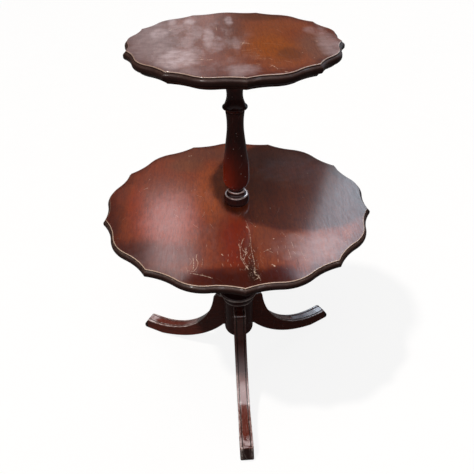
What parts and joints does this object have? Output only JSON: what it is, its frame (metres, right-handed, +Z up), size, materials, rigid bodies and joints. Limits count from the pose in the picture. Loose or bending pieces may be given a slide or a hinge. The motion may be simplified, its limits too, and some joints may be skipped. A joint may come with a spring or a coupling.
{
  "type": "tiered side table",
  "caption": "Two-tier side table: a large and a small scalloped round top on turned columns, standing on three sabre legs.",
  "frame": {"origin": "on the floor, on the axis of the columns", "axes": "+Z up; -Y towards the front leg and the front cusp of the lower top; +X to the right seen from the front"},
  "size_m": [0.5868, 0.6095, 0.892],
  "materials": {
    "top_wood": "polished dark red-brown mahogany, worn at the edges",
    "turned_wood": "polished very dark mahogany",
    "leg_wood": "polished dark mahogany, worn on the upper faces",
    "block_wood": "plain brown wood",
    "dowel_wood": "bare beech",
    "screw_steel": "dull",
    "rod_steel": "dull",
    "insert_brass": "dull",
    "glide_metal": "dull"
  },
  "bodies": {
    "root": {"upper_top": "top_wood", "lower_top": "top_wood", "upper_post": "turned_wood", "pillar": "turned_wood", "leg_front": "leg_wood", "leg_right": "leg_wood", "leg_left": "leg_wood", "upper_block": "block_wood", "lower_block": "block_wood", "upper_block_screws": "screw_steel", "lower_block_screws": "screw_steel", "post_insert": "insert_brass", "tie_rod": "rod_steel", "rod_washer": "rod_steel", "rod_nut": "rod_steel", "leg_dowels": "dowel_wood", "foot_glides": "glide_metal"}
  },
  "joints": []
}
